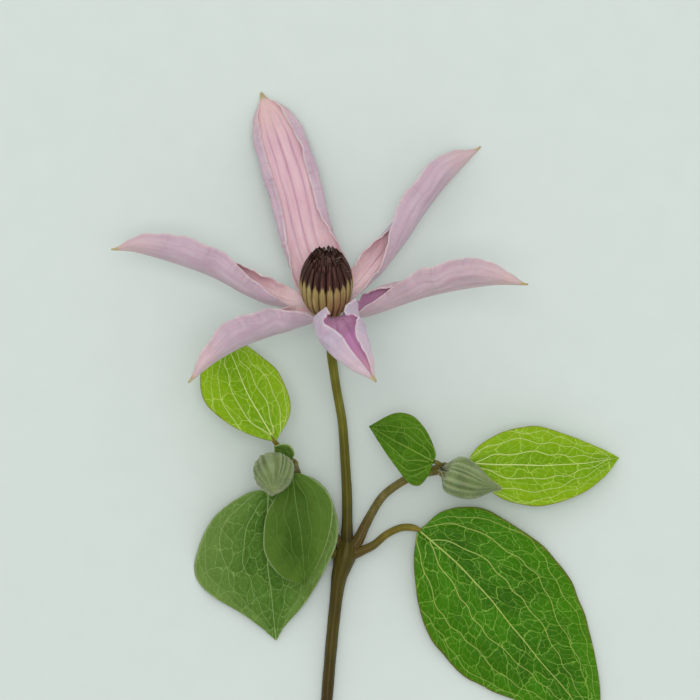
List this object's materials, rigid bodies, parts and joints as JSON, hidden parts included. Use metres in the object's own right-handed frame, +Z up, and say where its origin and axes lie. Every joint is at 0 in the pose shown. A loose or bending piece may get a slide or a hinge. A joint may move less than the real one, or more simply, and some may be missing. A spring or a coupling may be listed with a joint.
{
  "type": "clematis flower sprig",
  "caption": "Cut clematis sprig lying flat: an open flower with six curled boat-shaped sepals round a barrel of stamens, felted buds, leaves and stalks.",
  "frame": {"origin": "on the surface the sprig lies on, under the middle of its bounding box", "axes": "+Y along the stem from the cut end to the flower, +Z up from the surface, +X to the side of the largest leaf"},
  "size_m": [0.1008, 0.1294, 0.0488],
  "materials": {
    "sepal": "matte",
    "stamen": "satin",
    "pistil": "matte",
    "stem": "satin",
    "young_stem": "matte",
    "leaf": "satin",
    "young_leaf": "satin",
    "bud": "matte"
  },
  "bodies": {
    "root": {"flower_stalk": "stem", "inner_stamens": "stamen", "left_bract": "young_leaf", "left_bud": "bud", "left_bud_stalk": "young_stem", "left_large_leaf": "leaf", "left_leaf_stalk": "young_stem", "left_middle_leaf": "leaf", "left_shoot": "young_stem", "left_upper_leaf": "young_leaf", "left_upper_leaf_stalk": "young_stem", "main_stem": "stem", "pistils": "pistil", "receptacle": "young_stem", "right_bud": "bud", "right_bud_stalk": "young_stem", "right_large_leaf": "leaf", "right_leaf_stalk": "young_stem", "right_shoot": "young_stem", "right_small_leaf": "leaf", "right_small_leaf_stalk": "young_stem", "right_upper_leaf": "young_leaf", "right_upper_leaf_stalk": "young_stem", "sepal_back": "sepal", "sepal_back_right": "sepal", "sepal_front": "sepal", "sepal_front_left": "sepal", "sepal_left": "sepal", "sepal_right": "sepal", "stamen_01": "stamen", "stamen_02": "stamen", "stamen_03": "stamen", "stamen_04": "stamen", "stamen_05": "stamen", "stamen_06": "stamen", "stamen_07": "stamen", "stamen_08": "stamen", "stamen_09": "stamen", "stamen_10": "stamen", "stamen_11": "stamen", "stamen_12": "stamen", "stamen_13": "stamen", "stamen_14": "stamen", "stamen_15": "stamen", "stamen_16": "stamen", "stamen_17": "stamen", "stamen_18": "stamen", "stamen_19": "stamen", "stamen_20": "stamen", "stamen_21": "stamen", "stamen_22": "stamen"}
  },
  "joints": []
}
